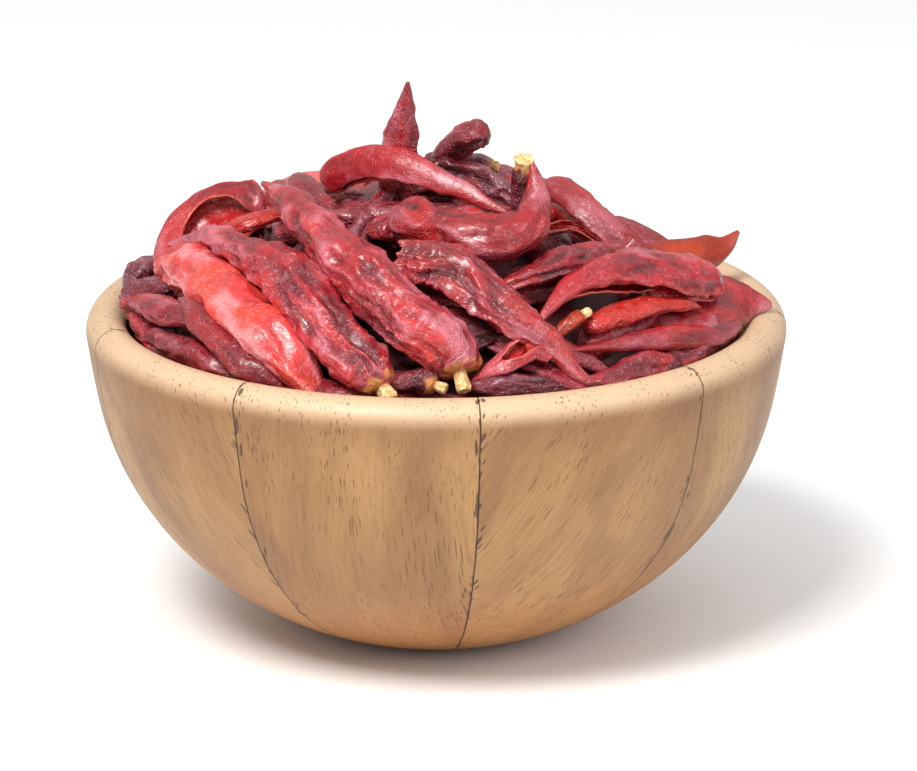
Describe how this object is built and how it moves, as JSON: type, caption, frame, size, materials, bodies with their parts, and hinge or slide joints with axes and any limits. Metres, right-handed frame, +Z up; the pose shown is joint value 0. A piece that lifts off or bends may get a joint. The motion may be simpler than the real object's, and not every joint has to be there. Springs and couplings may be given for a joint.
{
  "type": "bowl of dried chillies",
  "caption": "Round turned wooden bowl glued up from wedge staves, heaped above its lip with loose large dried red chillies.",
  "frame": {"origin": "middle of the bowl's flat foot, on the surface that it stands on", "axes": "+Z up along the bowl's turning axis; -Y is the front, the side that the picture shows"},
  "size_m": [0.2037, 0.2037, 0.1639],
  "materials": {
    "pale_wood": "pale tan hardwood with short dark pores, thinly oiled, satin",
    "chilli_skin": "dry, crumpled, leathery red skin with a soft sheen and a pale bloom; stands in for food"
  },
  "bodies": {
    "root": {"stave_1": "pale_wood", "stave_2": "pale_wood", "stave_3": "pale_wood", "stave_4": "pale_wood", "stave_5": "pale_wood", "stave_6": "pale_wood", "stave_7": "pale_wood", "stave_8": "pale_wood", "stave_9": "pale_wood", "chillies": "chilli_skin"}
  },
  "joints": []
}
